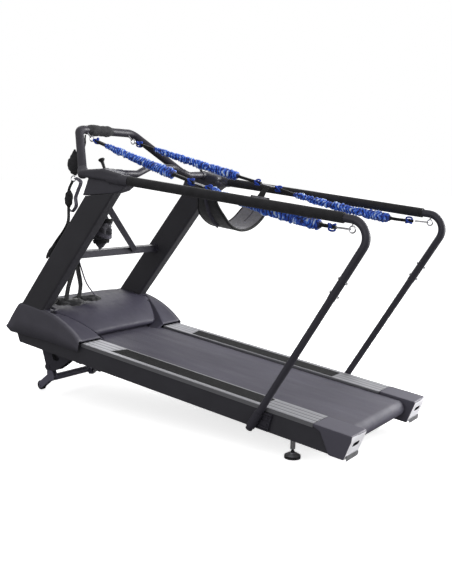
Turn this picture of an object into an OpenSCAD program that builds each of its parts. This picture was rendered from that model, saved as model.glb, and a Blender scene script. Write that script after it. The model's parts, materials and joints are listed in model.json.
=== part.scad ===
// Flat-deck, self-powered treadmill with a push bar, handrails and a bungee waist belt.
// Most parts are drawn in the deck's own frame: U runs along the belt towards the rear,
// V across it (the user's left is -V) and H square to it, with H = 0 at the top of the
// foot rails. deck() places that frame at its slope over the floor.

/* [Deck] */
// Slope of the deck, degrees
incline = 6.5; // [5:0.5:8]
// Width over the side rails
rail_span = 860; // [840:10:880]
// Width of the running belt
belt_w = 560; // [540:5:564]
// Height of a side rail
rail_h = 104; // [100:2:110]
// Radius of both rollers
roller_r = 37; // [35:1:38]
// Distance of the front roller ahead of the frame's zero
front_roller_u = 450; // [440:5:460]
// Distance of the rear roller behind the frame's zero
rear_roller_u = 1235; // [1230:1:1238]

/* [Handrails] */
// Height of a handrail over the foot rail, at its front
handrail_h = 930; // [900:5:950]
// Rise of a handrail from its front to its bend
handrail_rise = 19; // [10:1:30]
// Distance of each handrail from the centre plane
handrail_v = 455; // [455:1:460]
// Radius of the handrail's tube
tube_r = 19; // [18:0.5:20]
// Radius over the foam grip
foam_r = 24.5; // [23:0.5:26]
// Radius of the rear bend, to the tube's centre
bend_r = 80; // [70:5:90]

/* [Push bar] */
// Height of the top bar over the foot rail
push_h = 1140; // [1110:5:1160]
// Half of the width between the arms at the top
push_v = 226; // [210:2:230]
// Radius of the push bar's tube
push_r = 24; // [22:0.5:24]

/* [Front support] */
// Radius of a front wheel
wheel_r = 28; // [26:1:30]
// Distance of each front wheel from the centre plane
wheel_v = 300; // [296:1:304]
// Radius of a rear foot's pad
foot_r = 39; // [36:1:42]

/* [Hidden] */
$fn = 48;

// Colours
frame_grey = [0.17, 0.165, 0.18];
soft_black = [0.05, 0.05, 0.055];
cover_grey = [0.2, 0.195, 0.215];
silver = [0.75, 0.75, 0.77];
belt_grey = [0.3, 0.29, 0.33];
cord_blue = [0.1, 0.25, 0.75];

// Sides: the user's left is -V
LEFT = -1;
RIGHT = 1;

// Rails and deck
rail_v = rail_span / 2;
rail_top = -14;
rail_bottom = rail_top - rail_h;
rail_front = -900;
rail_rear = 1270;
sheet_t = 4;
lip_v = 286;
plate_t = 12;
plate_front = -345;
plate_rear = 1117;
grip_front = -142;
grip_rear = 832;
grip_v = [298, 403];
belt_t = 2.7;
belt_gap = 0.3;
roller_h = -12 - belt_t - belt_gap - roller_r;
belt_v = belt_w / 2;
deck_t = 19;
deck_top = roller_h + roller_r - 0.3;
member_h = -86;
member_us = [-380, 60, 500, 940, 1140];

// Running clearance of a shaft in its bore
run_gap = 0.05;

// How much thicker a bend is than its straight runs, and how far they run into it
bend_step = 0.15;
bend_lap = 0.6;

// Columns: front and rear faces as lines leaning back with height
lean = 0.615;
column_v = [385, 455];
column_front_u = -896;
column_depth = 175;
column_wall = 3;
function column_u(h) = column_front_u + lean * h;
cap_seam = [808, 852];

// Drive
fly_c = [-660, -5];
fly_r = 105;
fly_v = [225, 255];
fly_shaft_r = 10;
small_pulley_r = 22;
big_pulley_r = 55;
pulley_v = [290, 306];
roller_shaft_r = 8.5;
yoke_pin = [-812, -62];
brake_pin = [-530, -100];
pin_r = 5;

// Front support
pivot = [-703, -255];
wheel_c = [-762, -388];
crank = [-640, -330];
strut_tube = [-672, -316];
strut_r = 20;
arm_v = [284, 289, 311, 316];
lug_v = [276, 282, 318, 324];
pivot_pin_r = 6;
axle_r = 5;
rod_r = 9;
rod_dir = [0.819, 0, 0.574];
rod_tilt = atan2(rod_dir[2], rod_dir[0]);

// Rear legs: a line leaning back with height
leg_lean = 0.458;
leg_foot_u = 855;
leg_r = 17.5;
leg_tilt = atan(leg_lean);
leg_top_h = 700;
leg_bottom_h = -120;
sleeve_h = 585;
bolt_hs = [610, 677];
bolt_r = 3;
function leg_at(h) = [leg_foot_u + leg_lean * h, handrail_v, h];

// Handrail and bars
handrail_front_u = -160;
corner_u = leg_foot_u + leg_lean * (handrail_h + handrail_rise);
foam_u = [-94, 1128];
push_base = [-428, 450, 925];
push_top = [-703, push_v, push_h];
handle_u = -240;
handle_h = 950;
bar_c = [-565, 447];
brace_ends = [[-322, -384, 797], [-544, 165, 457]];
brace_length = norm(brace_ends[1] - brace_ends[0]);
brace_half = 16;
bar_half = 20;
bar_wall = 2.5;

// Levers
lever_c = [-283, 430, 948];
lever_dir = [-0.53, 0, 0.848];
lever_pin_r = 4;

// Rings, clips and cords
ring_r = 14.5;
ring_wire = 3.5;
rear_ring = [1174, 455, 904];
push_ring = [-645, 177, 1096];
joint_at = [253, 323, 963];
clip_len = 72;
clip_wire = 3.5;
clip_half = 9;

// Placing the deck's frame over the floor
slope_sin = sin(incline);
slope_cos = cos(incline);
floor_z = wheel_r + wheel_c[0] * slope_sin - wheel_c[1] * slope_cos;
bend_u = corner_u - bend_r * tan(45 + leg_tilt / 2);
bend_h = handrail_h + handrail_rise - bend_r;
front_tip = [-932, -38];
front_x = front_tip[0] * slope_cos + front_tip[1] * slope_sin;
rear_x = bend_u * slope_cos + bend_h * slope_sin + bend_r + tube_r + bend_step;
shift_x = -(front_x + rear_x) / 2;
foot_c = [1019, 370, -214];
anchor_h = -111.5;
foot_x = shift_x + foot_c[0] * slope_cos + foot_c[2] * slope_sin;

// ---------- helpers ----------

module deck() {
    translate([shift_x, 0, floor_z])
        rotate([0, incline, 0])
            children();
}

// Draws its children on the right, or mirrored on the left
module on(side) {
    if (side == RIGHT)
        children();
    else
        mirror([0, 1, 0])
            children();
}

module both() {
    on(RIGHT)
        children();
    on(LEFT)
        children();
}

// A (U, H) outline drawn out across V
module across(v0, v1) {
    translate([0, v1, 0])
        rotate([90, 0, 0])
            linear_extrude(v1 - v0)
                children();
}

// A (V, H) section drawn out along U
module along(u0, u1) {
    translate([u0, 0, 0])
        rotate([90, 0, 90])
            linear_extrude(u1 - u0)
                children();
}

// A (U, V) outline drawn up along H
module upward(h0, h1) {
    translate([0, 0, h0])
        linear_extrude(h1 - h0)
            children();
}

// A round pin across V
module pin(c, v0, v1, r) {
    translate([c[0], v1, c[1]])
        rotate([90, 0, 0])
            cylinder(r = r, h = v1 - v0);
}

// A box given by its low and high corners
module block(low, high) {
    translate(low)
        cube(high - low);
}

function unit(a) = a / norm(a);

// A rotation that carries +Z onto direction d, with its place at p
function frame_on(p, d) =
    let (z = unit(d),
         side = abs(z[1]) < 0.9 ? [0, 1, 0] : [1, 0, 0],
         x = unit(cross(side, z)),
         y = cross(z, x))
    [[x[0], y[0], z[0], p[0]], [x[1], y[1], z[1], p[1]], [x[2], y[2], z[2], p[2]], [0, 0, 0, 1]];

module ring_2d(r, wall) {
    difference() {
        circle(r);
        circle(r - wall);
    }
}

// A straight tube from a to b
module tube(a, b, r, wall) {
    multmatrix(frame_on(a, b - a))
        linear_extrude(norm(b - a))
            ring_2d(r, wall);
}

// A solid round bar from a to b
module rod(a, b, r) {
    multmatrix(frame_on(a, b - a))
        cylinder(r = r, h = norm(b - a));
}

// Half of the angle between the two legs that meet at corner i
function half_angle(pts, i) = acos(unit(pts[i - 1] - pts[i]) * unit(pts[i + 1] - pts[i])) / 2;
// Length that corner i's bend takes from each of its legs
function setback(pts, i, bend) =
    (i == 0 || i == len(pts) - 1) ? 0 : bend / tan(half_angle(pts, i));

// A tube through pts, with a round bend at each inner one. The bends are a little
// thicker than the straight runs, which end inside them
module bent_tube(pts, bend, r, wall) {
    last = len(pts) - 1;
    for (i = [0:last - 1]) {
        d = unit(pts[i + 1] - pts[i]);
        a = i == 0 ? 0 : setback(pts, i, bend) - bend_lap;
        b = i == last - 1 ? 0 : setback(pts, i + 1, bend) - bend_lap;
        tube(pts[i] + a * d, pts[i + 1] - b * d, r, wall);
    }
    for (i = [1:last - 1]) {
        a = unit(pts[i - 1] - pts[i]);
        b = unit(pts[i + 1] - pts[i]);
        half = half_angle(pts, i);
        c = pts[i] + unit(a + b) * bend / sin(half);
        x = unit(pts[i] + a * setback(pts, i, bend) - c);
        x2 = unit(pts[i] + b * setback(pts, i, bend) - c);
        z = unit(cross(x, x2));
        y = cross(z, x);
        multmatrix([[x[0], y[0], z[0], c[0]], [x[1], y[1], z[1], c[1]], [x[2], y[2], z[2], c[2]]])
            rotate_extrude(angle = 180 - 2 * half)
                translate([bend, 0])
                    ring_2d(r + bend_step, wall + 2 * bend_step);
    }
}

// Points of a cubic curve with n steps
function curve(a, b, c, d, n) =
    [for (i = [0:n]) let (t = i / n, s = 1 - t)
        s * s * s * a + 3 * s * s * t * b + 3 * s * t * t * c + t * t * t * d];

// A line of points moved sideways by t, square to itself
function moved(p, t) =
    [for (i = [0:len(p) - 1])
        let (a = p[max(i - 1, 0)], b = p[min(i + 1, len(p) - 1)], d = unit(b - a))
        p[i] + t * [d[1], -d[0]]];

// A skin of thickness t under the line p
module skin_2d(p, t) {
    inner = moved(p, t);
    polygon(concat(p, [for (i = [len(p) - 1:-1:0]) inner[i]]));
}

// Two round discs joined by straight sides
module stadium_2d(a, b, r) {
    hull() {
        translate(a)
            circle(r, $fn = 32);
        translate(b)
            circle(r, $fn = 32);
    }
}

// ---------- rails and deck ----------

module side_rail(side) {
    color(frame_grey)
        deck()
            on(side)
                difference() {
                    along(rail_front, rail_rear)
                        polygon([
                            [rail_v, rail_bottom], [rail_v, rail_top], [330, rail_top],
                            [330, rail_top - sheet_t], [rail_v - sheet_t, rail_top - sheet_t],
                            [rail_v - sheet_t, rail_bottom + sheet_t], [372, rail_bottom + sheet_t],
                            [372, rail_bottom]
                        ]);
                    across(300, 450)
                        polygon([[-910, -5], [-900, -5], [-900, rail_top], [-835, rail_bottom - 5],
                                 [-910, rail_bottom - 5]]);
                }
}

module cross_members() {
    color(frame_grey)
        deck()
            for (u = member_us)
                difference() {
                    block([u, -rail_v + sheet_t, member_h], [u + 40, rail_v - sheet_t, -46]);
                    block([u + 3, -rail_v, member_h + 3], [u + 37, rail_v, -49]);
                }
}

module running_deck() {
    color([0.12, 0.1, 0.09])
        deck()
            block([-395, -275, deck_top - deck_t], [1190, 275, deck_top]);
}

module deck_cushions() {
    color(soft_black)
        deck()
            for (u = member_us, side = [LEFT, RIGHT])
                translate([u + 20, side * 240, -46])
                    cylinder(r = 16, h = 46 + deck_top - deck_t);
}

module belt_loop_2d(r) {
    translate([-front_roller_u, roller_h])
        circle(r);
    translate([rear_roller_u, roller_h])
        circle(r);
    translate([-front_roller_u, roller_h - r])
        square([front_roller_u + rear_roller_u, 2 * r]);
}

module running_belt() {
    color(belt_grey)
        deck()
            across(-belt_v, belt_v)
                difference() {
                    belt_loop_2d(roller_r + belt_gap + belt_t);
                    belt_loop_2d(roller_r + belt_gap);
                }
}

module grip_outline(grow) {
    polygon([
        [grip_front - grow + 12, grip_v[0] - grow], [grip_rear + grow, grip_v[0] - grow],
        [grip_rear + grow, grip_v[1] + grow], [grip_front - grow - 12, grip_v[1] + grow]
    ]);
}

module foot_rail(side) {
    color(silver)
        deck()
            on(side)
                difference() {
                    along(plate_front, plate_rear)
                        polygon([
                            [lip_v, -plate_t], [lip_v, -1.5], [lip_v + 1.5, 0], [rail_v + 2.5, 0],
                            [rail_v + 4, -1.5], [rail_v + 4, -20], [rail_v + 0.5, -20],
                            [rail_v + 0.5, -plate_t]
                        ]);
                    upward(-3, 1)
                        grip_outline(0.5);
                    for (v = [306:18:414])
                        block([plate_front - 1, v, -1.5], [plate_rear + 1, v + 3, 1]);
                }
}

module grip_strip(side) {
    ribs = 9;
    pitch = (grip_v[1] - grip_v[0]) / ribs;
    color(soft_black)
        deck()
            on(side)
                intersection() {
                    upward(-3, 2)
                        grip_outline(0);
                    along(grip_front - 20, grip_rear + 5)
                        union() {
                            translate([grip_v[0], -3])
                                square([grip_v[1] - grip_v[0], 2.6]);
                            for (i = [0:ribs - 1])
                                translate([grip_v[0] + pitch * i + 2, -1])
                                    square([pitch - 4, 2]);
                        }
                }
}

// ---------- rollers ----------

module roller(u) {
    deck() {
        pin([u, roller_h], -282, 282, roller_r);
        pin([u, roller_h], -327, 327, roller_shaft_r);
    }
}

module front_roller() {
    color(silver)
        roller(-front_roller_u);
}

module rear_roller() {
    color(silver)
        roller(rear_roller_u);
}

module roller_bearings() {
    color(silver)
        deck()
            for (u = [-front_roller_u, rear_roller_u])
                both()
                    difference() {
                        union() {
                            pin([u, roller_h], 310, 328, 20);
                            block([u - 20, 310, roller_h - 4], [u + 20, rail_v - sheet_t, roller_h + 4]);
                        }
                        pin([u, roller_h], 300, 440, roller_shaft_r + run_gap);
                    }
}

module tension_bolts() {
    color(silver)
        deck()
            both() {
                rod([1195, 380, -34], [1300, 380, -34], 5);
                translate([1300, 380, -34])
                    rotate([0, 90, 0])
                        cylinder(r = 8, h = 6, $fn = 6);
                difference() {
                    block([1215, 366, -47.5], [1221, rail_v - sheet_t, -18.5]);
                    rod([1210, 380, -34], [1225, 380, -34], 5.2);
                }
            }
}

// ---------- drive ----------

module drive_pulley() {
    color(silver)
        deck()
            difference() {
                pin([-front_roller_u, roller_h], pulley_v[0], pulley_v[1], big_pulley_r);
                pin([-front_roller_u, roller_h], 280, 340, roller_shaft_r);
                for (v = [pulley_v[0] - 1, pulley_v[1] - 4])
                    difference() {
                        pin([-front_roller_u, roller_h], v, v + 5, big_pulley_r - 8);
                        pin([-front_roller_u, roller_h], v - 1, v + 6, 20);
                    }
            }
}

module flywheel() {
    color(silver)
        deck()
            union() {
                difference() {
                    pin(fly_c, fly_v[0], fly_v[1], fly_r);
                    for (v = [fly_v[0] - 1, fly_v[1] - 8])
                        difference() {
                            pin(fly_c, v, v + 9, fly_r - 22);
                            pin(fly_c, v - 1, v + 10, 30);
                        }
                }
                pin(fly_c, 203, 310, fly_shaft_r);
                pin(fly_c, pulley_v[0], pulley_v[1], small_pulley_r);
            }
}

module drive_belt() {
    big = [-front_roller_u, roller_h];
    color(soft_black)
        deck()
            across(pulley_v[0] + 2, pulley_v[1] - 2)
                difference() {
                    hull() {
                        translate(big)
                            circle(big_pulley_r + 4, $fn = 64);
                        translate(fly_c)
                            circle(small_pulley_r + 4, $fn = 32);
                    }
                    hull() {
                        translate(big)
                            circle(big_pulley_r + 0.6, $fn = 64);
                        translate(fly_c)
                            circle(small_pulley_r + 0.6, $fn = 32);
                    }
                }
}

module magnet_yoke() {
    plate = [[-826, -72], [-798, -72], [-752, -20], [-752, 26], [-790, 46], [-826, 20]];
    color([0.55, 0.4, 0.15])
        deck()
            difference() {
                union() {
                    across(fly_v[0] - 10, fly_v[0] - 4)
                        polygon(plate);
                    across(fly_v[1] + 4, fly_v[1] + 10)
                        polygon(plate);
                    across(fly_v[0] - 4, fly_v[1] + 4)
                        polygon([[-826, -72], [-798, -72], [-782, -40], [-782, 41], [-790, 46], [-826, 20]]);
                }
                pin(yoke_pin, 200, 280, pin_r + run_gap);
            }
}

module brake_arm() {
    color([0.35, 0.12, 0.1])
        deck()
            difference() {
                across(fly_v[0] + 4, fly_v[1] - 4)
                    polygon([[-540, -110], [-520, -110], [-520, -90], [-532, 14], [-552.6, 14],
                             [-552.6, -24], [-542, -34]]);
                pin(brake_pin, 200, 280, pin_r + run_gap);
            }
}

// ---------- base ----------

module fly_mount_2d() {
    polygon([[-846, -116], [-770, -116], [-640, -30], [-630, 22], [-690, 22], [-846, -40]]);
}

module base_frame() {
    color(frame_grey)
        deck() {
            difference() {
                block([-845, -rail_v + sheet_t, -114], [-785, rail_v - sheet_t, -74]);
                block([-842, -rail_v, -111], [-788, rail_v, -77]);
            }
            difference() {
                union() {
                    across(203, 211)
                        fly_mount_2d();
                    across(269, 277)
                        fly_mount_2d();
                }
                pin(fly_c, 190, 290, fly_shaft_r + run_gap);
            }
            pin(yoke_pin, 203, 277, pin_r);
            // Second tube, under the rails, with the brake's and the actuator's lugs
            difference() {
                block([-560, -372, rail_bottom - 28], [-520, 372, rail_bottom]);
                block([-557, -380, rail_bottom - 25], [-523, 380, rail_bottom - 3]);
            }
            for (v = [fly_v[0] - 4, fly_v[1] + 0])
                across(v, v + 4)
                    polygon([[-545, rail_bottom], [-515, rail_bottom], [-522, -90], [-538, -90]]);
            pin(brake_pin, fly_v[0] - 4, fly_v[1] + 4, pin_r);
            difference() {
                block([-435, -372, rail_bottom - 28], [-395, 372, rail_bottom]);
                block([-432, -380, rail_bottom - 25], [-398, 380, rail_bottom - 3]);
            }
            for (v = [-34, 28])
                across(v, v + 6)
                    polygon([[-425, rail_bottom - 28], [-395, rail_bottom - 28],
                             [-405, -190], [-440, -190]]);
            // Lugs and pins that carry the front support
            both()
                for (i = [0, 2])
                    across(lug_v[i], lug_v[i + 1])
                        difference() {
                            polygon([[-800, -112], [-500, -112], [-530, -168], [-562, -200], [-592, -227],
                                     [-625, -254], [-660, -270], [-712, -268], [-722, -240], [-757, -167]]);
                            polygon([[-678, -172], [-650, -158], [-612, -180], [-616, -196], [-656, -202]]);
                        }
            both() {
                pin(pivot, lug_v[0] - 4, lug_v[3] + 4, pivot_pin_r);
                pin(pivot, lug_v[3] - 1, lug_v[3] + 3, 19);
            }
        }
}

// ---------- hood ----------

hood_line = concat(
    [[-928, -36]],
    curve([-852, 88], [-838, 112], [-815, 124], [-780, 124], 5),
    curve([-740, 124], [-600, 124], [-480, 96], [-372, 24], 10)
);
side_line = concat(
    [[-932, -38]],
    curve([-850, 96], [-838, 112], [-815, 118], [-780, 117], 5),
    curve([-740, 116], [-590, 114], [-480, 92], [-346.5, 4], 10)
);

module hood_plan(grow) {
    polygon([
        [-960, 383 - grow], [-620, 383 - grow], [-620, 424 - grow], [-368, 292 - grow],
        [-368, -292 + grow], [-620, -424 + grow], [-620, -383 + grow], [-960, -383 + grow]
    ]);
}

module hood_cover() {
    color(cover_grey)
        deck() {
            intersection() {
                across(-440, 440)
                    skin_2d(hood_line, 3);
                upward(-60, 200)
                    hood_plan(0.5);
            }
        }
}

module hood_side(side) {
    outer = concat(side_line, [[-346.5, -46], [-590, -46], [-890, -64]]);
    color(cover_grey)
        deck()
            on(side)
                difference() {
                    union() {
                        difference() {
                            across(300, 460)
                                skin_2d(side_line, 3);
                            upward(-80, 200)
                                hood_plan(-0.5);
                        }
                        across(457, 460)
                            polygon(outer);
                    }
                    across(column_v[0] - 1, column_v[1] + 0.5)
                        polygon([[column_u(-40) - 1, -40], [column_u(-40) + column_depth + 1, -40],
                                 [column_u(200) + column_depth + 1, 200], [column_u(200) - 1, 200]]);
                }
}

// ---------- columns ----------

module column(side) {
    rear = column_depth;
    color(frame_grey)
        deck()
            on(side)
                difference() {
                    across(column_v[0], column_v[1])
                        polygon([[column_u(rail_top), rail_top], [column_u(rail_top) + rear, rail_top],
                                 [column_u(cap_seam[1]) + rear, cap_seam[1]],
                                 [column_u(cap_seam[0]), cap_seam[0]]]);
                    across(column_v[0] + column_wall, column_v[1] - column_wall)
                        polygon([[column_u(-40) + 4, -40], [column_u(-40) + rear - 4, -40],
                                 [column_u(870) + rear - 4, 870], [column_u(870) + 4, 870]]);
                }
}

// Three pins in a row along the top of a column, swept round by a hull
module cap_shell(v0, v1, less) {
    hull() {
        pin([-418, 926], v0, v1, 19 - less);
        pin([-265, 944], v0, v1, 28 - less);
        pin([-165, 937], v0, v1, 25 - less);
    }
}

module column_cap(side) {
    push_dir = unit(push_top - push_base);
    color(frame_grey)
        deck()
            on(side)
                difference() {
                    union() {
                        across(column_v[0] - 2, column_v[1] + 2)
                            polygon([[column_u(cap_seam[0]) - 12, cap_seam[0] + 0.3],
                                     [column_u(cap_seam[1]) + column_depth, cap_seam[1] + 0.3],
                                     [-148, 872], [-110, 905], [-110, 925], [-374, 925], [-381, 905]]);
                        cap_shell(379, 482, 9);
                        cap_shell(383, 478, 4);
                        cap_shell(390, 471, 0);
                        rod([-230, handrail_v, handrail_h - 2], [-95, handrail_v, handrail_h], 29);
                        pin([handle_u, handle_h], 352, 400, 23);
                        rod(push_base - 16 * push_dir, push_base + 34 * push_dir, push_r + 4);
                    }
                    rod([handrail_front_u, handrail_v, handrail_h - 1],
                        [-60, handrail_v, handrail_h + 0.5], tube_r + 0.2);
                    pin([handle_u, handle_h], 340, 372, tube_r + 0.2);
                    rod(push_base, push_base + 120 * push_dir, push_r + 0.2);
                    difference() {
                        union() {
                            pin([lever_c[0], lever_c[2]], 418, 442, 26);
                            block([lever_c[0] - 30, 418, 956], [lever_c[0] + 26, 442, 1000]);
                        }
                        pin([lever_c[0], lever_c[2]], 410, 450, lever_pin_r);
                    }
                }
}

// A square bar along Z
module square_bar(half, z0, z1) {
    block([-half, -half, z0], [half, half, z1]);
}

// A square bar across the machine on the crossbar's line
module along_bar(v, half) {
    block([bar_c[0] - half, -v, bar_c[1] - half], [bar_c[0] + half, v, bar_c[1] + half]);
}

module crossbar() {
    color(frame_grey)
        deck() {
            difference() {
                along_bar(380, bar_half);
                along_bar(381, bar_half - bar_wall);
            }
            both()
                pin(bar_c, 379, 384.8, 34);
        }
}

module diagonal_brace() {
    color(frame_grey)
        deck()
            difference() {
                multmatrix(frame_on(brace_ends[0], brace_ends[1] - brace_ends[0]))
                    difference() {
                        square_bar(brace_half, -20, brace_length);
                        square_bar(brace_half - bar_wall, -21, brace_length + 1);
                    }
                along_bar(300, bar_half + 0.2);
                block([-400, -430, 700], [-250, -column_v[0] + 0.2, 900]);
            }
}

module push_bar() {
    color(frame_grey)
        deck()
            bent_tube([
                push_base,
                push_top,
                [push_top[0], -push_top[1], push_top[2]],
                [push_base[0], -push_base[1], push_base[2]]
            ], 75, push_r, 2.5);
}

module front_handle() {
    color(frame_grey)
        deck()
            bent_tube([
                [handle_u, 371, handle_h], [handle_u, 232, handle_h], [handle_u - 20, 105, handle_h + 38],
                [handle_u - 20, -105, handle_h + 38], [handle_u, -232, handle_h], [handle_u, -371, handle_h]
            ], 60, tube_r, 2.5);
}

// ---------- handrails and legs ----------

module bolt_holes(h0, grow) {
    across_leg = [cos(leg_tilt), 0, -sin(leg_tilt)];
    for (h = h0)
        rod(leg_at(h) - 40 * across_leg, leg_at(h) + 40 * across_leg, bolt_r + grow);
}

module handrail(side) {
    color(frame_grey)
        deck()
            on(side)
                difference() {
                    bent_tube([
                        [handrail_front_u, handrail_v, handrail_h - 1],
                        [corner_u, handrail_v, handrail_h + handrail_rise],
                        leg_at(sleeve_h)
                    ], bend_r, tube_r, 1.3);
                    bolt_holes(bolt_hs, 0.2);
                }
}

module foam_grip(side) {
    d = unit([corner_u - handrail_front_u, 0, handrail_rise + 1]);
    start = [handrail_front_u, handrail_v, handrail_h - 1];
    color(soft_black)
        deck()
            on(side)
                tube(start + (foam_u[0] - handrail_front_u) * d, start + (foam_u[1] - handrail_front_u) * d,
                     foam_r, foam_r - tube_r - 0.2);
}

module leg(side) {
    color(frame_grey)
        deck()
            on(side)
                difference() {
                    rod(leg_at(leg_bottom_h - 4), leg_at(leg_top_h), leg_r);
                    rod(leg_at(leg_bottom_h), leg_at(leg_top_h + 5), leg_r - 2.5);
                    bolt_holes(bolt_hs, 0.2);
                }
}

module leg_brackets() {
    color(frame_grey)
        deck()
            both() {
                difference() {
                    union() {
                        rod(leg_at(-108), leg_at(-30), leg_r + 5);
                        across(rail_v + 0.5, 446)
                            polygon([[775, -112], [895, -112], [905, -26], [822, -26]]);
                    }
                    rod(leg_at(-130), leg_at(0), leg_r + 0.2);
                    across(437, 450)
                        polygon([[790, -106], [893, -106], [902, -32], [830, -32]]);
                }
                for (h = [-98, -70, -42])
                    block([leg_at(h)[0] + 22, 436.5, h], [898, 445, h + 4]);
                for (h = [-88, -56], u = [880])
                    translate([u, 437, h + 3])
                        rotate([-90, 0, 0])
                            cylinder(r = 6, h = 5, $fn = 6);
            }
}

module leg_bolts() {
    d = [cos(leg_tilt), 0, -sin(leg_tilt)];
    color(silver)
        deck()
            both()
                for (h = bolt_hs) {
                    rod(leg_at(h) - 24 * d, leg_at(h) + 26 * d, bolt_r);
                    rod(leg_at(h) - 24 * d, leg_at(h) - (tube_r + 0.2) * d, 6);
                    rod(leg_at(h) + (tube_r + 0.2) * d, leg_at(h) + 26 * d, 6);
                }
}

// ---------- rear end ----------

module end_cap_body() {
    intersection() {
        across(290, 438)
            polygon([
                [1217, -121], [1158, -26], [1118, -12], [1118, 1], [1317, 1], [1322, -5], [1318, -22],
                [1293, -121]
            ]);
        upward(-130, 10)
            polygon([[1100, 280], [1326, 280], [1326, 300], [1316, 433], [1310, 438], [1100, 445]]);
    }
}

// The hollow inside an end cap, open to the front
module end_cap_room() {
    intersection() {
        across(293, 435)
            polygon([[1050, -118], [1050, -2], [1315, -2], [1319, -6], [1315, -22], [1290.3, -118]]);
        upward(-130, 10)
            polygon([[1040, 280], [1322, 280], [1322, 300], [1312, 431], [1307, 435], [1040, 445]]);
    }
}

module end_cap(side) {
    color(cover_grey)
        deck()
            on(side)
                difference() {
                    end_cap_body();
                    end_cap_room();
                    block([1130, 280, member_h - 1], [1181, 300, -45]);
                    pin([rear_roller_u, roller_h], 280, 300, 24);
                    block([1290, 335, -60], [1330, 395, -44]);
                }
}

// A bracket under each end cap, with a bolt hole that faces the rear
module end_cap_brackets() {
    color(silver)
        deck()
            both()
                difference() {
                    union() {
                        block([1180, 334, -124.5], [1303.5, 386, -121.5]);
                        block([1300.5, 318, -124.5], [1303.5, 426, -98.5]);
                        rod([1300.5, 318, anchor_h], [1303.5, 318, anchor_h], 13);
                    }
                    rod([1290, 318, anchor_h], [1310, 318, anchor_h], 4.5);
                }
}

module foot_bosses() {
    color(silver)
        both()
            difference() {
                translate([foot_x, foot_c[1] + 24, 44])
                    cylinder(r = 12, h = 60);
                translate([foot_x, foot_c[1] + 24, 30])
                    cylinder(r = 6 + run_gap, h = 90);
                deck()
                    block([900, 300, rail_bottom], [1200, 480, 0]);
            }
}

module rear_foot(side) {
    color(soft_black)
        on(side)
            translate([foot_x, foot_c[1] + 24, 0]) {
                cylinder(r = foot_r, h = 8);
                translate([0, 0, 8])
                    cylinder(r = foot_r - 1, h = 6);
                translate([0, 0, 14])
                    cylinder(r1 = foot_r, r2 = 22, h = 10);
                translate([0, 0, 24])
                    cylinder(r = 11, h = 10, $fn = 6);
                cylinder(r = 6, h = 88);
            }
}

// ---------- rings and levers ----------

// A ring in the U-H plane on a stem that runs up along dir
module eye(c, dir, stem) {
    translate(c)
        rotate([90, 0, 0])
            rotate_extrude()
                translate([ring_r, 0])
                    circle(ring_wire);
    rod(c + (ring_r + 2) * unit(dir), c + (ring_r + stem) * unit(dir), 4);
}

module anchor_rings() {
    color(silver)
        deck()
            both() {
                eye(rear_ring, [-0.1, 0, 1], 8.5);
                eye(push_ring, [push_top[0] - push_ring[0], 0, push_top[2] - push_ring[2]], 34.2);
            }
}

// A hub on a short stem that flares into a round thumb pad
module lever(side) {
    c = lever_c;
    color(soft_black)
        deck()
            on(side) {
                difference() {
                    pin([c[0], c[2]], 419, 441, 25.5);
                    pin([c[0], c[2]], 410, 450, lever_pin_r + run_gap);
                }
                multmatrix(frame_on(c, lever_dir))
                    rotate_extrude()
                        polygon([[0, 18], [7, 18], [9, 60], [18, 74], [15, 79], [0, 79]]);
            }
}

// ---------- front support ----------

module incline_frame() {
    arm = [[-776, -374], [-710, -306], [-718, -262], [-703, -240], [-688, -250], [-651, -303],
           [-655, -330], [-672, -337], [-681, -334], [-748, -402], [-768, -402]];
    color(frame_grey)
        deck() {
            both() {
                for (i = [0, 2])
                    difference() {
                        union() {
                            across(arm_v[i], arm_v[i + 1])
                                polygon(arm);
                            pin(pivot, arm_v[i], arm_v[i + 1], 16);
                        }
                        pin(pivot, 270, 330, pivot_pin_r + run_gap);
                    }
                across(arm_v[0], arm_v[3])
                    polygon([[-755, -352.5], [-710, -306], [-707, -309], [-752, -355.5]]);
                pin(wheel_c, arm_v[0] - 4, arm_v[3] + 4, axle_r);
                pin(strut_tube, arm_v[1], arm_v[2], 12);
            }
            tube([strut_tube[0], -arm_v[0], strut_tube[1]], [strut_tube[0], arm_v[0], strut_tube[1]],
                 strut_r, 3);
            for (v = [-15, 9])
                across(v, v + 6)
                    polygon([[-668, -322], [-655, -305], [-628, -322], [-628, -336], [-650, -344],
                             [-664, -334]]);
            pin(crank, -15, 15, 5);
        }
}

module front_wheel(side) {
    color(soft_black)
        deck()
            on(side)
                difference() {
                    pin(wheel_c, arm_v[1] + 1.5, arm_v[2] - 1.5, wheel_r);
                    pin(wheel_c, 280, 320, axle_r + run_gap);
                    for (v = [arm_v[1], arm_v[2] - 4.5])
                        difference() {
                            pin(wheel_c, v, v + 4.5, wheel_r - 7);
                            pin(wheel_c, v - 1, v + 6, 11);
                        }
                }
}

function on_rod(d) = [crank[0], 0, crank[1]] + d * unit(rod_dir);

module lift_rod() {
    color(silver)
        deck()
            difference() {
                union() {
                    pin(crank, -6, 6, 13);
                    rod(on_rod(8), on_rod(170), rod_r);
                }
                pin(crank, -10, 10, 7);
            }
}

module lift_actuator() {
    color(soft_black)
        deck()
            difference() {
                union() {
                    rod(on_rod(62), on_rod(215), 22);
                    rod(on_rod(150), on_rod(215), 27);
                    across(-27.5, 27.5)
                        polygon([[-482, -212], [-470, -196], [-440, -186], [-408, -160], [-408, -190],
                                 [-440, -224], [-470, -232]]);
                }
                rod(on_rod(50), on_rod(205), rod_r + run_gap);
            }
}

// ---------- cords and soft goods ----------

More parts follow.
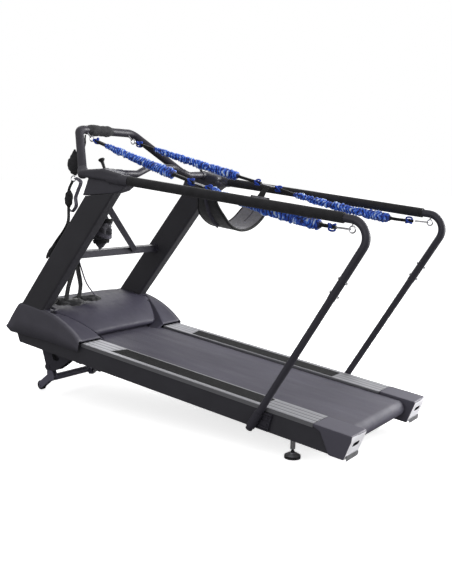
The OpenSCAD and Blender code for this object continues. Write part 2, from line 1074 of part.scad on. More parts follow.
// Left and right cords run the same way, in deck coordinates, mirrored
front_route = [
    push_ring + [25, 4, -5], [-560, 191, 1080], [-400, 217, 1054], [-240, 243, 1029],
    [-80, 269, 1006], [80, 295, 985], joint_at + [-43, -7, 4]
];
rear_route = [
    joint_at + [44, 6, -5], [420, 345, 935], [560, 362, 919], [700, 381, 906],
    [840, 399, 898], [980, 416, 894], [1050, 427, 896], rear_ring + [-88, -8, -6]
];
cord_sides = 8;
sleeve_r = 19;

// Ring of points square to the route at point i
function route_dir(p, i) = unit(p[min(i + 1, len(p) - 1)] - p[max(i - 1, 0)]);
function route_ring(p, i, r) =
    let (z = route_dir(p, i), x = unit(cross([0, 0, 1], z)), y = cross(z, x))
    [for (k = [0:cord_sides - 1]) p[i] + r * (cos(360 * k / cord_sides) * x + sin(360 * k / cord_sides) * y)];

// A route with steps of equal parts between its points
function finer(p, n) =
    concat([for (i = [0:len(p) - 2], k = [0:n - 1]) p[i] + (p[i + 1] - p[i]) * k / n], [p[len(p) - 1]]);

module cord(route, r) {
    n = len(route);
    m = cord_sides;
    polyhedron(
        points = [for (i = [0:n - 1]) each route_ring(route, i, (i == 0 || i == n - 1) ? 0.45 * r : r)],
        faces = concat(
            [[for (k = [m - 1:-1:0]) k]],
            [for (i = [0:n - 2], k = [0:m - 1])
                [i * m + k, i * m + (k + 1) % m, (i + 1) * m + (k + 1) % m, (i + 1) * m + k]],
            [[for (k = [0:m - 1]) (n - 1) * m + k]]
        )
    );
}

module bungees(side) {
    color(cord_blue)
        deck()
            on(side) {
                cord(finer(front_route, 2), sleeve_r);
                cord(finer(rear_route, 2), sleeve_r);
            }
}

// A long loop of wire whose near end wraps point c, running off along dir, flat in the V plane
module clip(c, dir) {
    d = unit(dir);
    y = unit(cross([0, 0, 1], d));
    z = cross(d, y);
    run = clip_len - 2 * clip_half;
    multmatrix([[d[0], y[0], z[0], c[0]], [d[1], y[1], z[1], c[1]], [d[2], y[2], z[2], c[2]]]) {
        for (s = [LEFT, RIGHT])
            rod([clip_half, s * clip_half, 0], [clip_half + run, s * clip_half, 0], clip_wire);
        for (x = [clip_half, clip_half + run], turn = [x == clip_half ? 90 : -90])
            translate([x, 0, 0])
                rotate([0, 0, turn])
                    rotate_extrude(angle = 180)
                        translate([clip_half, 0])
                            circle(clip_wire);
    }
}

module carabiners() {
    color(silver)
        deck()
            both() {
                clip(rear_ring + [-6, 0, 0], [-1, -0.08, -0.06]);
                clip(joint_at + [-34, -5, 3], [1, 0.15, -0.1]);
            }
}

module waist_belt() {
    band_r = 272;
    band_h = 1012;
    half = 66;
    color(soft_black)
        deck()
            along(175, 335)
                intersection() {
                    translate([0, band_h])
                        ring_2d(band_r + 12, 12);
                    polygon([[0, band_h], [-400 * sin(half), band_h - 400 * cos(half)], [-300, 600], [300, 600],
                             [400 * sin(half), band_h - 400 * cos(half)]]);
                }
}

module harness_bundle() {
    color(soft_black)
        deck()
            translate([-366, -298, 560]) {
                cylinder(r1 = 36, r2 = 46, h = 70);
                translate([0, 0, 70])
                    cylinder(r1 = 46, r2 = 30, h = 60);
            }
}

module strap_set() {
    color(soft_black)
        deck() {
            for (v = [-345, -215])
                multmatrix(frame_on([-565, -300, 421], [-15, (v + 300) * 0.9, -230]))
                    translate([-2, -17, 0])
                        cube([4, 34, 238]);
            rod([-620, -335, 157], [-560, -225, 157], 27);
            rod([-690, -120, 157], [-610, -20, 157], 27);
        }
}

module hanging_handles() {
    color(soft_black)
        deck()
            translate([-600, -345, 0]) {
                translate([0, 0, 895])
                    cylinder(r1 = 24, r2 = 16, h = 95);
                block([-8, -16, 700], [8, 16, 894]);
            }
}

side_rail(LEFT);  // left_side_rail
side_rail(RIGHT);  // right_side_rail
cross_members();
running_deck();
deck_cushions();
running_belt();
foot_rail(LEFT);  // left_foot_rail
foot_rail(RIGHT);  // right_foot_rail
grip_strip(LEFT);  // left_grip_strip
grip_strip(RIGHT);  // right_grip_strip
front_roller();
rear_roller();
roller_bearings();
tension_bolts();
drive_pulley();
flywheel();
drive_belt();
magnet_yoke();
brake_arm();
base_frame();
hood_cover();
hood_side(LEFT);  // left_hood_side
hood_side(RIGHT);  // right_hood_side
column(LEFT);  // left_column
column(RIGHT);  // right_column
column_cap(LEFT);  // left_column_cap
column_cap(RIGHT);  // right_column_cap
crossbar();
diagonal_brace();
push_bar();
front_handle();
handrail(LEFT);  // left_handrail
handrail(RIGHT);  // right_handrail
foam_grip(LEFT);  // left_foam_grip
foam_grip(RIGHT);  // right_foam_grip
leg(LEFT);  // left_leg
leg(RIGHT);  // right_leg
leg_brackets();
leg_bolts();
end_cap(LEFT);  // left_end_cap
end_cap(RIGHT);  // right_end_cap
end_cap_brackets();
foot_bosses();
rear_foot(LEFT);  // left_rear_foot
rear_foot(RIGHT);  // right_rear_foot
anchor_rings();
lever(LEFT);  // resistance_lever
lever(RIGHT);  // brake_lever
incline_frame();
lift_actuator();
lift_rod();
front_wheel(LEFT);  // left_front_wheel
front_wheel(RIGHT);  // right_front_wheel
bungees(LEFT);  // left_bungees
bungees(RIGHT);  // right_bungees
carabiners();
waist_belt();
harness_bundle();
strap_set();
hanging_handles();
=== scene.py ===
"""Looks for a self-powered treadmill: studio, camera, materials and the finer pieces.

Most places are given in the deck's own frame, in millimetres, as the CAD model has them:
U runs along the belt towards the rear, V across it and H square to it. deck() turns such
a place into the row frame, in metres.
"""

import json
import math

import bmesh
import bpy
from mathutils import Matrix, Vector, noise


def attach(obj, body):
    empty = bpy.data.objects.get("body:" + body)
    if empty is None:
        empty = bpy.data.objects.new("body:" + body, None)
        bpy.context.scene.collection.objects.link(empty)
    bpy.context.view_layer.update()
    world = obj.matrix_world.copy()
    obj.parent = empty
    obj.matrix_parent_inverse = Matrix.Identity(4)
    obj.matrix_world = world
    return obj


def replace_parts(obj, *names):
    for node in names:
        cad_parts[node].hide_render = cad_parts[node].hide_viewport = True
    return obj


LEFT, RIGHT = -1, 1
SIDE_NAMES = {LEFT: "left", RIGHT: "right"}

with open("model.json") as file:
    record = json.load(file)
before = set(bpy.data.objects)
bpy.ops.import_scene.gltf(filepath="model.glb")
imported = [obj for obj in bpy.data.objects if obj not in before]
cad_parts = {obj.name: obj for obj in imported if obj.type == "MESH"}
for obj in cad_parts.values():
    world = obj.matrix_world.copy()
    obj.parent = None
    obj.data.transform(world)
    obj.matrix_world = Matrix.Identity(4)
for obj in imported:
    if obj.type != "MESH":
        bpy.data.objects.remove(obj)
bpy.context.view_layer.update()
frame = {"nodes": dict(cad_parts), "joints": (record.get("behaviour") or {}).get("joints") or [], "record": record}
nodes = frame["nodes"]


# ---------- places ----------

SLOPE = math.radians(6.5)
FRONT_ROLLER = (-450, -52)


def joint_place(name):
    return Vector(next(j["pos_m"] for j in frame["joints"] if j["name"] == name))


def turned(u, v, h):
    """A direction or a step in the deck's frame, as the row frame has it."""
    return Vector((
        u * math.cos(SLOPE) + h * math.sin(SLOPE),
        v,
        h * math.cos(SLOPE) - u * math.sin(SLOPE),
    ))


def across_plane(place):
    return Vector((place.x, 0, place.z))


ORIGIN = across_plane(joint_place("front_roller_spin")) - turned(FRONT_ROLLER[0], 0, FRONT_ROLLER[1]) / 1000


def deck(u, v, h):
    return ORIGIN + turned(u, v, h) / 1000


# ---------- camera, floor and light ----------

# The camera's place and directions, in the deck's own frame
CAMERA_PLACE = (2668.72, -3638.65, 1295.52)
CAMERA_RIGHT = (0.8147, 0.5665, 0.1209)
CAMERA_DOWN = (0.21517, -0.10196, -0.97124)
CAMERA_AHEAD = (-0.53817, 0.81751, -0.20505)
CAMERA_LENS = 50.43

# The sky's strength is SKY_MEAN on average, rises along SKY_SLANT and never falls below SKY_LEAST
SKY_SLANT = (0.16, 0.04, 0.2)
SKY_MEAN = 0.52
SKY_LEAST = 0.3

# Each lamp's name, place, aim, size and power
LAMPS = (
    ("key", (2.3, 4.0, 2.4), (0.7, 0, 0.4), (3.0, 2.2), 260),
    ("rim", (-3.2, 2.6, 3.0), (-0.3, 0, 0.7), (2.0, 2.0), 40),
    ("side", (4.4, 2.5, 1.1), (0.6, 0, 0.6), (1.6, 2.2), 110),
    ("fill", (0.6, -5.5, 2.0), (0, 0, 0.6), (4.0, 2.5), 50),
)
FLOOR_HALF = 60
FLOOR_GLOW = 0.72
FLOOR_GREY = 0.2


def make_camera():
    data = bpy.data.cameras.new("camera")
    data.sensor_width = 36
    data.lens = CAMERA_LENS
    camera = bpy.data.objects.new("camera", data)
    bpy.context.scene.collection.objects.link(camera)
    right, down, ahead = (turned(*way) for way in (CAMERA_RIGHT, CAMERA_DOWN, CAMERA_AHEAD))
    columns = Matrix((right, -down, -ahead)).transposed().to_4x4()
    camera.matrix_world = Matrix.Translation(deck(*CAMERA_PLACE)) @ columns
    bpy.context.scene.camera = camera


def area_light(name, place, aim, size, power):
    data = bpy.data.lights.new(name, "AREA")
    data.shape = "RECTANGLE"
    data.size, data.size_y = size
    data.energy = power
    light = bpy.data.objects.new(name, data)
    bpy.context.scene.collection.objects.link(light)
    light.location = place
    light.rotation_euler = (Vector(aim) - Vector(place)).to_track_quat("-Z", "Y").to_euler()


def make_studio():
    """White to the camera. What lights the object is brightest above, behind and beyond it."""
    world = bpy.data.worlds.new("studio")
    world.use_nodes = True
    nodes_of, links = world.node_tree.nodes, world.node_tree.links
    background = nodes_of["Background"]
    background.inputs["Color"].default_value = (1, 1, 1, 1)
    toward = nodes_of.new("ShaderNodeVectorMath")
    toward.operation = "DOT_PRODUCT"
    toward.inputs[1].default_value = SKY_SLANT
    links.new(nodes_of.new("ShaderNodeTexCoord").outputs["Generated"], toward.inputs[0])
    sky = nodes_of.new("ShaderNodeMapRange")
    limits = {"From Min": -1, "From Max": 1, "To Min": SKY_MEAN - 1, "To Max": SKY_MEAN + 1}
    for socket, value in limits.items():
        sky.inputs[socket].default_value = value
    links.new(toward.outputs["Value"], sky.inputs["Value"])
    at_least = nodes_of.new("ShaderNodeMath")
    at_least.operation = "MAXIMUM"
    at_least.inputs[1].default_value = SKY_LEAST
    links.new(sky.outputs["Result"], at_least.inputs[0])
    seen = nodes_of.new("ShaderNodeMix")
    links.new(nodes_of.new("ShaderNodeLightPath").outputs["Is Camera Ray"], seen.inputs["Factor"])
    links.new(at_least.outputs[0], seen.inputs["A"])
    seen.inputs["B"].default_value = 1.0
    links.new(seen.outputs["Result"], background.inputs["Strength"])
    bpy.context.scene.world = world
    bpy.context.scene.view_settings.view_transform = "Standard"
    for lamp in LAMPS:
        area_light(*lamp)


def make_floor(material):
    mesh = bpy.data.meshes.new("floor")
    corners = [(FLOOR_HALF * x, FLOOR_HALF * y, 0) for x, y in ((-1, -1), (1, -1), (1, 1), (-1, 1))]
    mesh.from_pydata(corners, [], [(0, 1, 2, 3)])
    floor = bpy.data.objects.new("floor", mesh)
    bpy.context.scene.collection.objects.link(floor)
    floor.data.materials.append(material)


# ---------- materials ----------

# A wave texture repeats every pi / (10 * scale) metres
RIB_PITCH = 0.036
RIB_SCALE = math.pi / 10 / RIB_PITCH


class Surface:
    """One procedural material. Its textures lie along the deck's own directions."""

    def __init__(self, name, colour, roughness, metallic=0.0):
        self.material = bpy.data.materials.new(name)
        self.material.use_nodes = True
        self.tree = self.material.node_tree
        self.shader = self.tree.nodes["Principled BSDF"]
        self.colour = colour
        self.shader.inputs["Base Color"].default_value = (*colour, 1)
        self.shader.inputs["Roughness"].default_value = roughness
        self.shader.inputs["Metallic"].default_value = metallic
        self.coordinates = self.tree.nodes.new("ShaderNodeTexCoord")
        self.place = self.coordinates.outputs["Object"]
        self.last_bump = None

    def new(self, kind, inputs=(), **settings):
        node = self.tree.nodes.new(kind)
        for key, value in settings.items():
            setattr(node, key, value)
        for key, value in dict(inputs).items():
            if isinstance(value, bpy.types.NodeSocket):
                self.tree.links.new(value, node.inputs[key])
            else:
                node.inputs[key].default_value = value
        return node

    def along_deck(self, stretch=(1, 1, 1)):
        mapping = self.new("ShaderNodeMapping", {"Vector": self.place}, vector_type="TEXTURE")
        mapping.inputs["Rotation"].default_value = (0, SLOPE, 0)
        mapping.inputs["Scale"].default_value = stretch
        return mapping.outputs["Vector"]

    def noise(self, scale, detail=2.0, stretch=(1, 1, 1), roughness=0.5):
        made = self.new("ShaderNodeTexNoise", {
            "Vector": self.along_deck(stretch), "Scale": scale, "Detail": detail, "Roughness": roughness})
        return made.outputs["Fac"]

    def cells(self, scale):
        made = self.new("ShaderNodeTexVoronoi", {"Vector": self.along_deck(), "Scale": scale})
        return made.outputs["Distance"]

    def bands(self, direction, scale, distortion=0.0):
        made = self.new(
            "ShaderNodeTexWave",
            {"Vector": self.along_deck(), "Scale": scale, "Distortion": distortion, "Detail": 1.0},
            wave_type="BANDS", bands_direction=direction)
        return made.outputs["Fac"]

    def attribute(self, name):
        return self.new("ShaderNodeAttribute", attribute_name=name).outputs["Fac"]

    def combine(self, operation, a, b):
        return self.new("ShaderNodeMath", {0: a, 1: b}, operation=operation).outputs[0]

    def spread(self, value, low, high, to_low=0.0, to_high=1.0):
        made = self.new("ShaderNodeMapRange", {
            "Value": value, "From Min": low, "From Max": high, "To Min": to_low, "To Max": to_high})
        return made.outputs["Result"]

    def tint(self, value, dark, light):
        """Colours the surface from dark to light by a value from 0 to 1."""
        ramp = self.new("ShaderNodeValToRGB", {"Fac": value})
        ramp.color_ramp.elements[0].color = (*dark, 1)
        ramp.color_ramp.elements[1].color = (*light, 1)
        self.tree.links.new(ramp.outputs["Color"], self.shader.inputs["Base Color"])
        return self

    def vary(self, scale, amount, detail=3.0, stretch=(1, 1, 1)):
        """A soft, uneven tint round the base colour."""
        low = tuple(c * (1 - amount) for c in self.colour)
        high = tuple(c * (1 + amount) for c in self.colour)
        return self.tint(self.spread(self.noise(scale, detail, stretch), 0.3, 0.7), low, high)

    def rough(self, value, low, high):
        self.tree.links.new(self.spread(value, 0.3, 0.7, low, high), self.shader.inputs["Roughness"])
        return self

    def bump(self, height, depth, strength=1.0):
        """Adds a bump, depth metres deep, over those already there."""
        made = self.new("ShaderNodeBump", {"Height": height, "Distance": depth, "Strength": strength})
        if self.last_bump:
            self.tree.links.new(self.last_bump.outputs["Normal"], made.inputs["Normal"])
        self.tree.links.new(made.outputs["Normal"], self.shader.inputs["Normal"])
        self.last_bump = made
        return self

    def sheen(self, weight, roughness=0.5):
        self.shader.inputs["Sheen Weight"].default_value = weight
        self.shader.inputs["Sheen Roughness"].default_value = roughness
        return self

    def gloss(self, level):
        self.shader.inputs["Specular IOR Level"].default_value = level
        return self


def paint(name, colour, roughness=0.42):
    made = Surface(name, colour, roughness).gloss(0.35)
    made.vary(6, 0.1)
    made.rough(made.noise(40, 4), roughness - 0.06, roughness + 0.08)
    made.bump(made.noise(1400, 2), 0.00006)
    made.bump(made.noise(160, 2), 0.00008, 0.5)
    return made.material


def moulded(name, colour, roughness=0.5, grain=900):
    made = Surface(name, colour, roughness).gloss(0.3)
    made.vary(9, 0.08)
    made.rough(made.noise(30, 4), roughness - 0.05, roughness + 0.08)
    made.bump(made.cells(grain), 0.00012, 0.6)
    made.bump(made.noise(grain / 3, 3), 0.0001, 0.5)
    return made.material


def brushed(name, colour, roughness, stretch):
    made = Surface(name, colour, roughness, 1.0)
    made.vary(500, 0.09, 4, stretch)
    made.rough(made.noise(700, 3, stretch), roughness - 0.07, roughness + 0.1)
    made.bump(made.noise(900, 2, stretch), 0.00004, 0.6)
    return made.material


def end_cap_with_painted_rear_light():
    """Grey plastic, with painted light that makes its faces turned to the rear much lighter."""
    made = Surface("end_cap", (0.085, 0.081, 0.105), 0.45).gloss(0.3)
    normal = made.new("ShaderNodeNewGeometry").outputs["Normal"]
    # Painted light: faces turned to the rear are tinted pale grey in place of light falling from behind
    rearward = tuple(turned(0.95, 0, -0.3))
    facing = made.new("ShaderNodeVectorMath", {0: normal, 1: rearward}, operation="DOT_PRODUCT")
    rear = made.spread(facing.outputs["Value"], 0.82, 0.92)
    made.tint(rear, made.colour, (0.85, 0.84, 0.88))
    made.bump(made.cells(900), 0.0001, 0.5)
    return made.material


def ribbed_aluminium():
    """Extruded foot-rail metal with fine ribs along the deck."""
    made = Surface("foot_aluminium", (0.42, 0.42, 0.44), 0.45, 0.75)
    ribs = made.spread(made.bands("Y", RIB_SCALE), 0.0, 0.35)
    made.tint(ribs, (0.2, 0.2, 0.215), (0.42, 0.42, 0.445))
    made.rough(made.noise(700, 3, (18, 1, 1)), 0.4, 0.55)
    made.bump(ribs, 0.0015, 0.7)
    made.bump(made.noise(900, 2, (18, 1, 1)), 0.00004, 0.6)
    return made.material


def rubber(name, colour, roughness=0.75, grain=1500):
    made = Surface(name, colour, roughness).gloss(0.3)
    made.vary(25, 0.18)
    made.rough(made.noise(80, 3), roughness - 0.08, roughness + 0.08)
    made.bump(made.cells(grain), 0.00015, 0.7)
    return made.material


def foam_rubber():
    made = Surface("foam", (0.018, 0.0175, 0.02), 0.7).gloss(0.35)
    made.vary(30, 0.3)
    made.rough(made.noise(60, 3), 0.74, 0.9)
    made.bump(made.cells(1100), 0.0003, 0.8)
    made.bump(made.noise(90, 3), 0.0005, 0.4)
    return made.sheen(0.1).material


def belt_top():
    made = Surface("belt", (0.1, 0.093, 0.125), 0.62)
    weave = made.combine("MULTIPLY", made.bands("X", 260), made.bands("Y", 260))
    streaks = made.noise(5, 4, (2.5, 0.5, 1))
    made.tint(made.spread(made.combine("ADD", made.combine("MULTIPLY", weave, 0.25), streaks), 0.3, 0.95),
              (0.05, 0.047, 0.066), (0.074, 0.07, 0.096))
    made.rough(made.noise(12, 4, (3, 0.6, 1)), 0.52, 0.7)
    made.bump(weave, 0.00025, 0.7)
    made.bump(made.noise(3, 2, (1, 3, 1)), 0.0012, 0.25)
    return made.gloss(0.35).material


def foot_pad():
    """A black pad under a bright ring, with a black dome on top."""
    made = Surface("foot_pad", (0.012, 0.012, 0.013), 0.4)
    ring_low, ring_high = 0.16, 0.3
    height = made.new("ShaderNodeSeparateXYZ", {0: made.coordinates.outputs["Generated"]}).outputs["Z"]
    over = made.combine("GREATER_THAN", height, ring_low)
    ring = made.combine("MULTIPLY", over, made.combine("LESS_THAN", height, ring_high))
    made.tint(ring, made.colour, (0.5, 0.5, 0.52))
    made.tree.links.new(ring, made.shader.inputs["Metallic"])
    made.bump(made.noise(500, 2), 0.00005, 0.5)
    return made.material


def webbing(name, colour, light=1.7):
    made = Surface(name, colour, 0.72)
    ribs = made.combine("MULTIPLY", made.bands("X", 330, 1.0), made.bands("Z", 330, 1.0))
    made.tint(made.spread(made.combine("ADD", ribs, made.noise(60, 3)), 0.2, 1.5),
              tuple(c * 0.6 for c in colour), tuple(c * light for c in colour))
    made.rough(made.noise(120, 3), 0.62, 0.8)
    made.bump(ribs, 0.0003, 0.8)
    return made.gloss(0.25).sheen(0.08).material


def gathered_fabric_with_painted_light():
    """Blue sleeve cloth with painted light: a pale painted highlight where a gather stands out and painted shade
    in the folds between.
    """
    made = Surface("gathered_fabric_with_painted_light", (0.012, 0.06, 0.45), 0.55)
    fold = made.attribute("ridge")
    mottled = made.combine("MULTIPLY", made.combine("SUBTRACT", made.noise(170, 4), 0.5), 0.9)
    ramp = made.new("ShaderNodeValToRGB", {"Fac": made.combine("ADD", fold, mottled)})
    stops = ramp.color_ramp.elements
    # Painted light: the ramp runs from painted shade in the folds, through the cloth's blue, to a pale painted
    # highlight on the ridges
    stops[0].position, stops[0].color = 0.12, (0.0015, 0.005, 0.04, 1)
    stops[1].position, stops[1].color = 0.94, (0.72, 0.85, 1.0, 1)
    for position, colour in ((0.3, (0.012, 0.06, 0.5, 1)), (0.6, (0.04, 0.2, 0.9, 1))):
        stops.new(position).color = colour
    made.tree.links.new(ramp.outputs["Color"], made.shader.inputs["Base Color"])
    made.rough(made.noise(300, 3), 0.45, 0.65)
    made.bump(made.combine("MULTIPLY", made.bands("X", 420), made.bands("Z", 420)), 0.00025, 0.6)
    made.bump(made.noise(240, 3), 0.0016, 0.7)
    return made.sheen(0.3, 0.4).material


def quilted_cloth(name, colour, roughness=0.8):
    """Padded black cloth with fine creases."""
    made = Surface(name, colour, roughness)
    made.vary(45, 0.35)
    made.bump(made.cells(900), 0.0002, 0.6)
    made.bump(made.noise(38, 3, roughness=0.6), 0.006, 0.5)
    return made.sheen(0.35).material


def spacer_mesh():
    made = Surface("belt_lining", (0.13, 0.125, 0.14), 0.85)
    made.vary(70, 0.2)
    made.bump(made.cells(480), 0.0008, 0.8)
    return made.sheen(0.4).material


def board():
    made = Surface("deck_board", (0.09, 0.06, 0.04), 0.55)
    made.vary(40, 0.35, 5, (6, 1, 1))
    made.bump(made.noise(120, 4, (8, 1, 1)), 0.0003, 0.6)
    return made.material


def cast_iron():
    made = Surface("cast_iron", (0.2, 0.2, 0.21), 0.45, 0.9)
    made.vary(60, 0.15)
    made.bump(made.noise(500, 4), 0.0002, 0.6)
    return made.material


def polished(name, colour, roughness):
    made = Surface(name, colour, roughness, 1.0)
    made.rough(made.noise(90, 3), roughness, roughness + 0.12)
    made.bump(made.noise(700, 2), 0.00002, 0.4)
    return made.material


def studio_floor():
    """White to the camera, but dim to the object, so that little light comes up from below."""
    made = Surface("studio_floor", (0.9, 0.9, 0.9), 0.9)
    made.gloss(0.0)
    made.shader.inputs["Emission Color"].default_value = (1, 1, 1, 1)
    made.shader.inputs["Emission Strength"].default_value = FLOOR_GLOW
    dim = made.new("ShaderNodeBsdfDiffuse", {"Color": (FLOOR_GREY, FLOOR_GREY, FLOOR_GREY, 1)})
    camera_ray = made.new("ShaderNodeLightPath").outputs["Is Camera Ray"]
    mixed = made.new("ShaderNodeMixShader", {0: camera_ray, 1: dim.outputs[0], 2: made.shader.outputs[0]})
    made.tree.links.new(mixed.outputs[0], made.tree.nodes["Material Output"].inputs["Surface"])
    return made.material


make_camera()
make_studio()
make_floor(studio_floor())

MATERIALS = {
    "frame_paint": paint("frame_paint", (0.04, 0.038, 0.05)),
    "support_paint": paint("support_paint", (0.13, 0.125, 0.165), 0.38),
    "bar_paint": paint("bar_paint", (0.026, 0.023, 0.033), 0.45),
    "column_paint": paint("column_paint", (0.038, 0.037, 0.043), 0.4),
    "rail_paint": paint("rail_paint", (0.042, 0.041, 0.049), 0.42),
    "cap_paint": moulded("cap_paint", (0.058, 0.056, 0.068), 0.42),
    "cover": moulded("cover", (0.042, 0.039, 0.059), 0.55),
    "side_cover": moulded("side_cover", (0.08, 0.077, 0.095), 0.5),
    "end_cap": end_cap_with_painted_rear_light(),
    "foot_aluminium": ribbed_aluminium(),
    "grip": rubber("grip", (0.01, 0.01, 0.011)),
    "belt": belt_top(),
    "board": board(),
    "steel": brushed("steel", (0.5, 0.5, 0.52), 0.3, (1, 14, 1)),
    "chrome": polished("chrome", (0.62, 0.62, 0.64), 0.1),
    "iron": cast_iron(),
    "cast_aluminium": brushed("cast_aluminium", (0.45, 0.45, 0.46), 0.45, (1, 1, 1)),
    "brake": paint("brake", (0.18, 0.025, 0.02)),
    "foam": foam_rubber(),
    "black_plastic": moulded("black_plastic", (0.012, 0.012, 0.013), 0.4, 1200),
    "tyre": rubber("tyre", (0.014, 0.014, 0.015), 0.7),
    "foot_pad": foot_pad(),
    "sleeve": gathered_fabric_with_painted_light(),
    "knot_cord": webbing("knot_cord", (0.012, 0.05, 0.36), 2.0),
    "webbing": webbing("webbing", (0.01, 0.01, 0.011)),
    "grey_webbing": webbing("grey_webbing", (0.07, 0.066, 0.085)),
    "padding": quilted_cloth("padding", (0.014, 0.014, 0.016)),
    "harness_cloth": quilted_cloth("harness_cloth", (0.055, 0.053, 0.066)),
    "lining": spacer_mesh(),
}

SLOT_MATERIAL = {
    "frame_paint": "frame_paint", "cover_plastic": "cover", "cap_plastic": "end_cap",
    "foot_aluminium": "foot_aluminium", "grip_rubber": "grip", "belt_rubber": "belt",
    "deck_board": "board", "bright_steel": "steel", "chrome": "chrome", "flywheel_iron": "iron",
    "yoke_metal": "cast_aluminium", "brake_metal": "brake", "foam": "foam",
    "black_plastic": "black_plastic", "wheel_rubber": "tyre", "bungee_fabric": "sleeve",
    "belt_fabric": "webbing",
}
NODE_MATERIAL = {
    "left_column": "column_paint", "right_column": "column_paint",
    "left_side_rail": "rail_paint", "right_side_rail": "rail_paint",
    "left_hood_side": "side_cover", "right_hood_side": "side_cover",
    "left_column_cap": "cap_paint", "right_column_cap": "cap_paint",
    "push_bar": "bar_paint", "front_handle": "bar_paint", "incline_frame": "support_paint",
    "left_rear_foot": "foot_pad", "right_rear_foot": "foot_pad",
}
SOFT_EDGED = ("left_side_rail", "right_side_rail", "crossbar", "incline_frame",
              "left_foot_rail", "right_foot_rail")
EDGE_WIDTH = 0.0014
EDGE_ANGLE = 40

# Moulded caps, with the voxel size and the rounds of smoothing that round them
ROUNDED = {"left_column_cap": (0.003, 10), "right_column_cap": (0.003, 10),
           "left_end_cap": (0.002, 22), "right_end_cap": (0.002, 22)}


def node_slot(name):
    return next(s["material_slot"] for s in frame["record"]["subparts"] if s["node"] == name)


def dress_cad_nodes():
    for name, node in nodes.items():
        look = NODE_MATERIAL.get(name, SLOT_MATERIAL[node_slot(name)])
        node.data.materials.clear()
        node.data.materials.append(MATERIALS[look])
    for name in SOFT_EDGED:
        bevel = nodes[name].modifiers.new("soft_edges", "BEVEL")
        bevel.width = EDGE_WIDTH
        bevel.segments = 2
        bevel.limit_method = "ANGLE"
        bevel.angle_limit = math.radians(EDGE_ANGLE)
        bevel.harden_normals = True
    for name, (voxel, rounds) in ROUNDED.items():
        even = nodes[name].modifiers.new("even", "REMESH")
        even.mode = "VOXEL"
        even.voxel_size = voxel
        even.use_smooth_shade = True
        ease_edges = nodes[name].modifiers.new("rounded", "SMOOTH")
        ease_edges.factor = 0.5
        ease_edges.iterations = rounds


dress_cad_nodes()


# ---------- mesh helpers ----------

def piece(name, mesh, materials, holder=None):
    """A finished mesh as a piece. It rides on the root body, or goes with the piece that holds it."""
    made = bpy.data.objects.new(name, mesh)
    bpy.context.scene.collection.objects.link(made)
    mesh.materials.clear()
    for key in materials:
        mesh.materials.append(MATERIALS[key])
    mesh.polygons.foreach_set("use_smooth", [True] * len(mesh.polygons))
    if holder:
        made.parent = holder
        made.matrix_parent_inverse = holder.matrix_world.inverted()
    else:
        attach(made, "root")
    return made


def smooth_line(points, steps):
    """Points of a smooth curve through the given ones, steps to each gap."""
    line = []
    last = len(points) - 1
    for i in range(last):
        p0, p1 = points[max(i - 1, 0)], points[i]
        p2, p3 = points[i + 1], points[min(i + 2, last)]
        for k in range(steps):
            t = k / steps
            line.append(0.5 * (2 * p1 + (p2 - p0) * t + (2 * p0 - 5 * p1 + 4 * p2 - p3) * t ** 2
                               + (3 * p1 - p0 - 3 * p2 + p3) * t ** 3))
    line.append(points[-1].copy())
    return line


def spaced(line, count):
    """The line again, as count points with equal steps."""
    run = [0.0]
    for a, b in zip(line, line[1:]):
        run.append(run[-1] + (b - a).length)
    points, at = [], 0
    for k in range(count):
        want = run[-1] * k / (count - 1)
        while at < len(run) - 2 and run[at + 1] < want:
            at += 1
        share = (want - run[at]) / max(run[at + 1] - run[at], 1e-9)
        points.append(line[at].lerp(line[at + 1], min(share, 1.0)))
    return points


def line_length(line):
    return sum((b - a).length for a, b in zip(line, line[1:]))


def frames_along(line, up=Vector((0, 0, 1))):
    """Ahead, side and up at each point of a line, turning no more than the line does."""
    last = len(line) - 1
    rows = []
    side = None
    for i in range(last + 1):
        ahead = (line[min(i + 1, last)] - line[max(i - 1, 0)]).normalized()
        side = up.cross(ahead) if side is None else side - ahead * side.dot(ahead)
        side.normalize()
        rows.append((ahead, side.copy(), ahead.cross(side)))
    return rows


def skin_mesh(name, rings, closed=False, capped=True, thickness=0.0):
    """A skin through rings of points. Uncapped rings are open rows, made solid by a thickness."""
    count = len(rings[0])
    verts = [point for ring in rings for point in ring]
    faces = []
    for i in range(len(rings) - (0 if closed else 1)):
        j = (i + 1) % len(rings)
        for k in range(count if capped else count - 1):
            n = (k + 1) % count
            faces.append((i * count + k, i * count + n, j * count + n, j * count + k))
    if capped and not closed:
        faces.append(tuple(range(count - 1, -1, -1)))
        faces.append(tuple((len(rings) - 1) * count + k for k in range(count)))
    mesh = bpy.data.meshes.new(name)
    mesh.from_pydata(verts, [], faces)
    shape = bmesh.new()
    shape.from_mesh(mesh)
    if thickness:
        bmesh.ops.solidify(shape, geom=list(shape.faces), thickness=thickness)
    bmesh.ops.recalc_face_normals(shape, faces=list(shape.faces))
    shape.to_mesh(mesh)
    shape.free()
    return mesh


def swept_mesh(name, line, section, up=Vector((0, 0, 1)), closed=False):
    """A skin along line. section(i) gives ring i's (side, up) pairs, all of one count."""
    rings = [[point + side * a + above * b for a, b in section(i)]
             for i, (point, (_, side, above)) in enumerate(zip(line, frames_along(line, up)))]
    return skin_mesh(name, rings, closed)


def round_ring(radius, sides):
    return [(radius * math.cos(2 * math.pi * k / sides), radius * math.sin(2 * math.pi * k / sides))
            for k in range(sides)]


SQUARENESS = 0.35


def flat_ring(half_width, half_depth, sides):
    """A flat strap's section, with round edges, in as many points as a round one."""
    return [(half_width * math.copysign(abs(x) ** SQUARENESS, x),
             half_depth * math.copysign(abs(y) ** SQUARENESS, y)) for x, y in round_ring(1, sides)]


def mixed_ring(a, b, share):
    return [(p[0] + (q[0] - p[0]) * share, p[1] + (q[1] - p[1]) * share) for p, q in zip(a, b)]


def ease(value):
    value = min(max(value, 0.0), 1.0)
    return value * value * (3 - 2 * value)


